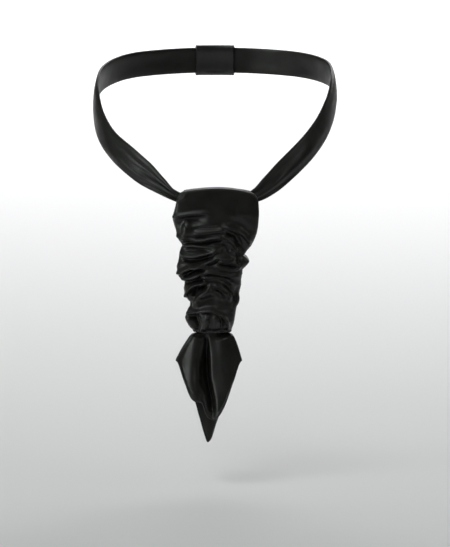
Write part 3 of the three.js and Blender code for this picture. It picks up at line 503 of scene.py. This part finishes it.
def knot_skin(u, v):
    """u runs round the knot from the seam at its back, and v from its top down and in at its mouth."""
    down = np.minimum(1, v / KNOT_OUTSIDE_SHARE)
    inward = np.clip((v - KNOT_OUTSIDE_SHARE) / (1 - KNOT_OUTSIDE_SHARE), 0, 1)
    ring = KNOT_TOP + (KNOT_MOUTH - KNOT_TOP) * np.where(down < TOP_ROWS, down * down / TOP_ROWS, down)
    turn_share = KNOT_TURN["share"]
    rolled = np.pi * np.minimum(1, inward / turn_share)
    inset = KNOT_TURN["radius"] * (1 - np.cos(rolled))
    shift = KNOT_HEM["long"] * np.maximum(0, inward - turn_share) / (1 - turn_share)
    shift -= KNOT_TURN["radius"] * np.sin(rolled)

    front = np.abs(u - 0.5) < KNOT_FRONT_SHARE / 2
    front_share = np.clip((u - 0.5) / KNOT_FRONT_SHARE + 0.5, 0, 1)
    back_share = ((u - 0.5 - KNOT_FRONT_SHARE / 2) % 1) / (1 - KNOT_FRONT_SHARE)
    across = np.where(front, -np.cos(np.pi * front_share), np.cos(np.pi * back_share))

    left = knot_left(ring - drop_left(ring)) + inset
    right = knot_right(ring - drop_right(ring)) - inset
    half = (right - left) / 2
    turned = np.sqrt(1 - np.clip(1 - (KNOT_TOP - ring) / KNOT_TOP_ROLL, 0, TOP_OPEN) ** 2)
    deep = knot_depth(ring) * turned / 2 - inset
    level = np.sqrt(np.maximum(0, 1 - across ** 2))
    outward = level ** (2 * knot_fullness(ring))
    brow = KNOT_BROW["high"] * (1 - smooth(KNOT_TOP - ring, KNOT_BROW["from"], KNOT_BROW["to"]))
    height = ring - np.where(across < 0, drop_left(ring), drop_right(ring)) * across ** 2
    height += np.where(front, brow * turned * outward, 0)
    slope_x, slope_y = across / half, level / deep
    length = np.hypot(slope_x, slope_y)
    slope_x, slope_y = slope_x / length, slope_y / length
    reach = deep * outward
    x = (left + right) / 2 + half * across
    middle = back_plane(height) - inset - deep

    ruched = smooth(-height, *RUCHED["from"]) * (1 - smooth(-height, *RUCHED["to"]))
    sign = np.where(front, -1, 1)
    places = np.stack([x + RUCHE_SLANT * height, middle + sign * reach, height], axis=1)
    small = swell(places, RUCHE_SMALL) + swell(places, RUCHE_SMALLEST)
    small *= np.where(front, slope_y ** RUCHE_SIDES["front_power"], RUCHE_SIDES["back"])
    panel = swell(places, PANEL_HANDLED) * slope_y
    folds = np.where(front, FOLD_DEPTH * relief(KNOT_FOLDS, x, height), 0) * slope_y ** FOLD_SIDE_POWER
    above_mouth = smooth(height, MOUTH_CALM["from"], MOUTH_CALM["to"])
    calm = MOUTH_CALM["kept"] + (1 - MOUTH_CALM["kept"]) * above_mouth
    lift = (1 - KNOT_HEM["calm"] * inward) * calm * (folds + ruched * small + (1 - ruched) * panel)
    lift -= SEAM["deep"] * np.exp(-((np.minimum(u, 1 - u) / SEAM["wide"]) ** 2))
    y = middle + sign * (reach + slope_y * lift)
    z = height - FOLD_DROOP * np.maximum(0, lift) + shift
    return np.stack([x + slope_x * lift, y, z], axis=1)


knot = cloth("knot_satin", KNOT_GRID, knot_skin)
lined = knot.modifiers.new("lined", "SOLIDIFY")
lined.thickness = KNOT_LINING * MM
lined.offset = -1
knot.data.materials.append(satin("knot_satin_ruched", KNOT_WEAVE))
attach(knot, "root")
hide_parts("knot")

# The front tail
# The blade of the cravat, a double layer of satin that is pleated at the knot and gathered up inside it.
# Its edges and pointed hem are rolled and slip-stitched, so they stand as a thin round bead.

TAIL_TOP = -121.9
BLADE_THICKNESS = 1.5
BLADE_WEAVE = (90, 110)
BLADE_GRID = (240, 190)
BLADE_STAND_OFF = 7  # from the plane of the knot's back to the middle of the blade
BLADE_OPENS = 0.11  # share of its length over which a blade opens out of its gathered top
BLADE_BELLY = 3.0
BLADE_CURL = {"reach": 1.5, "power": 5}  # how the blade's tip comes forward
BLADE_HANDLED = {"size": (6, 5, 16), "seed": 31.0, "height": 0.25}
BLADE_STEM = {"spread": 1, "near": 2.2, "far": 99}
EDGE_CROWDING = 0.5  # 0 spaces the columns evenly, and 1 draws them to the edges
HEM_CROWDING = 1.25  # above 1, the rows lie closer together at the hem
HEM_SLOPE = 0.62  # turns a height above the slanting hem into a distance from it
HEM_BEAD = {"radius": 0.85, "rise": 0.17, "wide": 0.7}
HEM_STITCHES = {"in_from_edge": 2.0, "sunk": 0.19, "wide": 0.5, "eased": 0.35, "pitch": 3.2, "slant": 0.4}
STEM_SHARE = 0.22  # of the tail's rows, which are gathered up inside the knot
STEM_TOP = -61
STEM_FULLNESS = 0.375

TAIL_SIDES = table("z left right", [
    (TAIL_TOP, -9.0, 6.0), (-122.8, -12.6, 9.2), (-125.6, -14.8, 10.9), (-133.6, -19.6, 13.6),
    (-137.0, -21.0, 14.4)])
TAIL_HEM = table("x z", [
    (-21.0, -137.0), (-16.6, -147.6), (-12.6, -156.6), (-10.4, -158.0), (-7.9, -158.2), (-6.3, -160.6),
    (-5.3, -164.0), (-3.2, -166.8), (-0.6, -167.6), (2.0, -165.6), (5.0, -160.6), (9.9, -147.6),
    (14.4, -137.0)])
TAIL_PLEATS = [
    ("roll 1", [(-8.4, -108.0), (-9.6, -124.0), (-10.8, -136.0), (-11.0, -146.0), (-9.4, -156.0),
                (-7.0, -170.0)], 2.5, 2.4, 4.6),
    ("roll 2", [(-5.4, -118.0), (-6.4, -128.0), (-7.4, -135.0), (-8.6, -141.0), (-8.8, -146.0),
                (-7.4, -151.6), (-5.0, -156.0), (-4.4, -163.0)], 1.15, 1.2, 1.8),
    ("deep line", [(-4.4, -119.0), (-4.3, -128.0), (-4.2, -136.0), (-4.0, -144.0), (-2.6, -152.0),
                   (-1.4, -158.0), (-0.8, -169.5)], -2.0, 0.9, 1.2),
    ("deep", [(-4.6, -126.0), (-4.9, -136.0), (-4.8, -145.0), (-3.4, -152.0), (-2.0, -158.0),
              (-1.4, -171.0)], -2.4, 1.8, 2.2),
    ("edge", [(-3.6, -112.0), (-3.2, -126.0), (-2.2, -133.5), (-1.3, -144.0), (0.1, -153.0), (0.9, -160.0),
              (1.6, -172.0)], 0.3, 2.6, 0.8),
    ("panel", [(4.6, -108.0), (5.6, -124.0), (6.6, -134.0), (6.6, -146.0), (5.0, -158.0), (4.0, -176.0)],
     2.7, 6.0, 7.0),
    ("hem fold", [(-7.6, -154.6), (-4.4, -158.6), (-4.2, -161.2), (-2.4, -163.6), (1.4, -164.4)],
     0.7, 0.7, 0.7),
]
# The plain room inside the knot, which the gathered tops of the tails fill.
HOLLOW = table("z left right deep", [
    (-61.0, -19.4, 20.2, 12.0), (-74.5, -14.4, 13.6, 11.2), (-80.0, -14.4, 11.0, 11.8),
    (-93.0, -13.2, 10.6, 10.8), (-104.0, -10.0, 9.0, 9.6), (-113.0, -10.0, 7.0, 10.0),
    (-121.2, -8.2, 5.2, 7.2), (TAIL_TOP, -8.2, 5.2, 7.2)])
KNOT_WALL = 2.2
STEM_CLEARANCE = 0.9
hollow = {name: reading(HOLLOW, "z", name) for name in ("left", "right", "deep")}


def stem_layer(share, z, spread, near, far):
    """x, y and half the thickness of a gathered top, between two distances from the hollow's back."""
    half = (hollow["right"](z) - hollow["left"](z)) / 2 - STEM_CLEARANCE
    deep = hollow["deep"](z) / 2 - STEM_CLEARANCE
    across = spread * (2 * share - 1)
    reach = deep * np.maximum(0, 1 - across ** 2) ** STEM_FULLNESS
    middle = back_plane(z) - KNOT_WALL - hollow["deep"](z) / 2
    back = np.minimum(middle + reach, middle + deep - near)
    front = np.maximum(middle - reach, middle + deep - far)
    x = (hollow["left"](z) + hollow["right"](z)) / 2 + half * across
    return x, (front + back) / 2, np.maximum(0, back - front) / 2


def tail_skin(sides, hem, hung, thickness, stem):
    """A tail's two faces as one wrapped cloth: u runs across its front and back again, v down it."""
    left_of, right_of = reading(sides, "z", "left"), reading(sides, "z", "right")
    hem_of = reading(hem, "x", "z")
    low = sides["z"].min()

    def place(u, v):
        face = np.where(u < 0.5, -1, 1)
        even = 2 * np.where(u < 0.5, u, 1 - u)
        crowded = (1 - np.cos(np.pi * even)) / 2
        share = np.clip(EDGE_CROWDING * crowded + (1 - EDGE_CROWDING) * even, 0, 1)
        down = np.clip((v - STEM_SHARE) / (1 - STEM_SHARE), 0, 1)
        down = 1 - (1 - down) ** HEM_CROWDING
        side_z = TAIL_TOP + (low - TAIL_TOP) * down
        left, right = left_of(side_z), right_of(side_z)
        hem_z = hem_of(left_of(low) + (right_of(low) - left_of(low)) * share)
        x = left + (right - left) * share
        z = TAIL_TOP + (hem_z - TAIL_TOP) * down
        opened = smooth(down, 0, BLADE_OPENS)
        edge = np.minimum((right - left) * np.minimum(share, 1 - share), (z - hem_z) * HEM_SLOPE)
        bead = HEM_BEAD["rise"] * np.exp(-((edge - HEM_BEAD["radius"]) / HEM_BEAD["wide"]) ** 2)
        stitched = 2 * np.pi * (z + HEM_STITCHES["slant"] * x) / HEM_STITCHES["pitch"]
        sunk = HEM_STITCHES["sunk"] * (1 - HEM_STITCHES["eased"] * (1 - np.cos(stitched)))
        sunk *= np.exp(-((edge - HEM_STITCHES["in_from_edge"]) / HEM_STITCHES["wide"]) ** 2)
        half = thickness / 2 + bead - sunk
        rounding = np.sqrt(1 - (1 - np.clip(edge / HEM_BEAD["radius"], 0, 1)) ** 2)
        in_blade = v >= STEM_SHARE
        inside_z = np.where(in_blade, TAIL_TOP, STEM_TOP + (TAIL_TOP - STEM_TOP) * v / STEM_SHARE)
        stem_x, stem_y, stem_half = stem_layer(share, inside_z, **stem)
        blade_y = hung(x, z, opened)
        y = np.where(in_blade, stem_y + (blade_y - stem_y) * opened, stem_y)
        half = np.where(in_blade, stem_half + (half * rounding - stem_half) * opened, stem_half)
        return np.stack([
            np.where(in_blade, x, stem_x),
            y + face * half,
            np.where(in_blade, z, inside_z),
        ], axis=1)

    return place


def front_blade(x, z, opened):
    """y of the middle of the blade. Its pleats run on up into the gathers, so opened isn't used."""
    fall = (TAIL_TOP - z) / (TAIL_TOP - TAIL_HEM["z"].min())
    belly = BLADE_BELLY * fall + BLADE_CURL["reach"] * fall ** BLADE_CURL["power"]
    soft = swell(np.stack([x, np.zeros_like(x), z], axis=1), BLADE_HANDLED)
    return back_plane(z) - BLADE_STAND_OFF - belly - relief(TAIL_PLEATS, x, z) - soft


front_tail_skin = tail_skin(TAIL_SIDES, TAIL_HEM, front_blade, BLADE_THICKNESS, BLADE_STEM)
front_tail = cloth("front_tail_satin", BLADE_GRID, front_tail_skin)
front_tail.data.materials.append(satin("front_tail_satin_pleated", BLADE_WEAVE))
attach(front_tail, "root")
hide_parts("front_tail")

# The under end
# The narrow end of the same strip of satin, folded double and pressed. It hangs flat behind the blade from
# the same gathers, and its point shows below the hem.

UNDER_THICKNESS = 1.4
UNDER_WEAVE = (44, 120)
UNDER_GRID = (120, 150)
UNDER_STAND_OFF = 1.3
UNDER_HANDLED = {"size": (5, 5, 14), "seed": 47.0, "height": 0.3}
UNDER_RIDGE = {"rise": 0.5, "x": -3, "wide": 4}  # where the pressed strip keeps its middle fold
UNDER_STEM = {"spread": 0.6, "near": 0, "far": 1.8}
UNDER_SIDES = table("z left right", [
    (TAIL_TOP, -6.6, 3.4), (-132.0, -10.6, 7.2), (-152.0, -12.6, 7.2), (-157.6, -12.0, 6.0)])
UNDER_HEM = table("x z", [
    (-12.0, -157.6), (-8.6, -167.4), (-6.0, -176.4), (-4.0, -181.2), (-2.4, -180.0), (1.0, -170.4),
    (4.2, -162.6), (6.0, -157.6)])


def under_blade(x, z, opened):
    """y of the middle of the under end, which is flat where it leaves the gathers."""
    ridge = UNDER_RIDGE["rise"] * np.exp(-((x - UNDER_RIDGE["x"]) / UNDER_RIDGE["wide"]) ** 2)
    soft = swell(np.stack([x, np.zeros_like(x), z], axis=1), UNDER_HANDLED) + ridge
    return back_plane(z) - UNDER_STAND_OFF - soft * opened


under_tail_skin = tail_skin(UNDER_SIDES, UNDER_HEM, under_blade, UNDER_THICKNESS, UNDER_STEM)
under_tail = cloth("under_tail_satin", UNDER_GRID, under_tail_skin)
under_tail.data.materials.append(satin("under_tail_satin_plain", UNDER_WEAVE))
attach(under_tail, "root")
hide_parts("under_tail")

# The clasp
# A plain flat slide that closes the loop at the back. It is thin sheet steel, bent round the band's two
# ends with a little air between, and enamelled black.

CLASP_HALF_ANGLE = 9.6
CLASP_GAP = 0.4
CLASP_WALL = 1.0
CLASP_EDGE = {"radius": 0.25, "segments": 3}
CLASP_GRID = (64, 24)
ENAMEL_DEEP = (0.008, 0.008, 0.009, 1)
ENAMEL_THIN = (0.014, 0.013, 0.013, 1)
ENAMEL_POOLS = {"Scale": 140.0, "Detail": 2.0}
ENAMEL_RUBBING = {"Scale": 420.0, "Detail": 3.0}
ENAMEL_SHADE = {"deep_below": 0.3, "thin_above": 0.7}
ENAMEL_ROUGH = {"least": 0.30, "rubbed": 0.07, "rubbed_from": 0.35, "rubbed_to": 0.75}
ENAMEL_RELIEF = {"height": 0.05, "strength": 0.3}
ENAMEL_COAT = {"Coat Weight": 0.5, "Coat Roughness": 0.12}


def clasp_skin(u, v):
    """The inner face of the slide: v runs round the loop, and u round the band."""
    angle = 180 - CLASP_HALF_ANGLE * (1 - 2 * v)
    middle, outward, upward, half_width, half_thick = band_frame(angle)
    across, deep, bow = band_section(u, angle)
    return (
        middle
        + upward * (across * (half_width + CLASP_GAP))[:, None]
        + outward * (deep * (half_thick + CLASP_GAP) + bow)[:, None]
    )


clasp = cloth("clasp_slide", CLASP_GRID, clasp_skin)
wall = clasp.modifiers.new("wall", "SOLIDIFY")
wall.thickness = CLASP_WALL * MM
wall.offset = 1
rounded = clasp.modifiers.new("rounded", "BEVEL")
rounded.width = CLASP_EDGE["radius"] * MM
rounded.segments = CLASP_EDGE["segments"]
rounded.limit_method = "ANGLE"


def enamel(name):
    """Black enamel on steel, slightly uneven where it pooled, and rubbed by the cloth."""
    finish = bpy.data.materials.new(name)
    finish.use_nodes = True
    tree = finish.node_tree
    shader = tree.nodes["Principled BSDF"]
    start = Strand(tree)
    place = start.node("ShaderNodeTexCoord", {}, {}, output="Object")
    pooled = start.node("ShaderNodeTexNoise", {}, {"Vector": place, **ENAMEL_POOLS})
    rubbed = start.node("ShaderNodeTexNoise", {}, {"Vector": place, **ENAMEL_RUBBING})
    worn = rubbed.between(ENAMEL_ROUGH["rubbed_from"], ENAMEL_ROUGH["rubbed_to"])
    rough = ENAMEL_ROUGH["least"] + ENAMEL_ROUGH["rubbed"] * worn
    height = pooled * ENAMEL_RELIEF["height"]
    bump = start.node(
        "ShaderNodeBump", {}, {"Strength": ENAMEL_RELIEF["strength"], "Distance": MM, "Height": height})
    thin = pooled.between(ENAMEL_SHADE["deep_below"], ENAMEL_SHADE["thin_above"])
    tree.links.new(thin.colour(ENAMEL_DEEP, ENAMEL_THIN).socket, shader.inputs["Base Color"])
    tree.links.new(rough.socket, shader.inputs["Roughness"])
    tree.links.new(bump.socket, shader.inputs["Normal"])
    for socket, value in ENAMEL_COAT.items():
        shader.inputs[socket].default_value = value
    return finish


clasp.data.materials.append(enamel("clasp_enamel"))
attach(clasp, "root")
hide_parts("back_clasp")

# The floor, the lights and the camera
# A plain floor of pale paper below the hanging cravat. The photo's sheen comes from a large soft light on
# the left and a weaker one from above, so the lamps stand there, with fills at the side, on the right and
# behind, and two that keep the floor even. The camera looks down a little, as the photo's does.

FLOOR_LEVEL = -205 * MM
FLOOR_RADIUS = 9.0  # metres
FLOOR_CORNERS = 96
PAPER = (0.82, 0.82, 0.83, 1)
PAPER_ROUGH = 0.9
ROOM_LIGHT = {"Color": (0.98, 1.0, 0.94, 1), "Strength": 0.085}
PHOTO_EYE = Vector((0, -2188, 230)) * MM
PHOTO_AIM = Vector((5.5, -10.7, -101.5)) * MM
FRAME_HEIGHT = 0.3009  # metres that the picture's height covers at the cravat
SENSOR = 24.0  # millimetres
FARTHEST = 50  # metres

mesh = bmesh.new()
bmesh.ops.create_circle(mesh, cap_ends=True, segments=FLOOR_CORNERS, radius=FLOOR_RADIUS)
bmesh.ops.translate(mesh, verts=mesh.verts, vec=(0, 0, FLOOR_LEVEL))
floor_mesh = bpy.data.meshes.new("floor")
mesh.to_mesh(floor_mesh)
mesh.free()
floor = bpy.data.objects.new("floor", floor_mesh)
bpy.context.scene.collection.objects.link(floor)
paper = bpy.data.materials.new("pale_paper")
paper.use_nodes = True
paper_shader = paper.node_tree.nodes["Principled BSDF"]
paper_shader.inputs["Base Color"].default_value = PAPER
paper_shader.inputs["Roughness"].default_value = PAPER_ROUGH
floor_mesh.materials.append(paper)

world = bpy.context.scene.world or bpy.data.worlds.new("room")
bpy.context.scene.world = world
world.use_nodes = True
for socket, value in ROOM_LIGHT.items():
    world.node_tree.nodes["Background"].inputs[socket].default_value = value


def soft_light(name, place, target, size, watts, spread, colour):
    lamp = bpy.data.lights.new(name, "AREA")
    lamp.shape = "RECTANGLE"
    lamp.size, lamp.size_y = size
    lamp.energy = watts
    lamp.spread = math.radians(spread)
    lamp.color = colour
    light = bpy.data.objects.new(name, lamp)
    light.location = place
    light.rotation_euler = (Vector(target) - Vector(place)).to_track_quat("-Z", "Y").to_euler()
    bpy.context.scene.collection.objects.link(light)


HEART = (0, -0.06, -0.09)  # the middle of the cravat, in metres
# Each lamp: its name, where it stands, what it is aimed at, its width and height, its watts, the degrees
# that it spreads over, and its colour.
LAMPS = [
    ("key", (-1.9, -1.2, 0.5), HEART, (0.8, 1.3), 2.0, 60, (0.95, 1, 0.97)),
    ("side", (-2.2, -0.1, 0.5), HEART, (0.8, 1.0), 0.2, 60, (0.95, 1, 0.97)),
    ("above", (-0.7, -0.9, 1.7), HEART, (1.5, 0.8), 0.9, 40, (0.95, 1, 0.98)),
    ("fill", (1.64, -0.83, 1.33), HEART, (0.9, 0.9), 0.5, 60, (0.97, 1, 0.97)),
    ("rear", (1.3, 1.8, 0.8), HEART, (1.0, 0.8), 1.3, 60, (1, 1, 1)),
    ("floor", (-0.3, 2.2, 2.3), (-0.2, 3.0, 0), (3.2, 2.4), 80, 110, (1, 1, 1)),
    ("near floor", (0, 1.8, 1.2), (0, 0.35, -0.2), (2.8, 1.0), 6, 70, (1, 1, 1)),
]
for lamp_row in LAMPS:
    soft_light(*lamp_row)

lens = bpy.data.cameras.new("photo_camera")
lens.sensor_fit = "VERTICAL"
lens.sensor_height = SENSOR
lens.lens = SENSOR * (PHOTO_EYE - PHOTO_AIM).length / FRAME_HEIGHT
lens.clip_end = FARTHEST
camera = bpy.data.objects.new("photo_camera", lens)
camera.location = PHOTO_EYE
camera.rotation_euler = (PHOTO_AIM - PHOTO_EYE).to_track_quat("-Z", "Y").to_euler()
bpy.context.scene.collection.objects.link(camera)
bpy.context.scene.camera = camera
bpy.context.scene.view_settings.view_transform = "Standard"
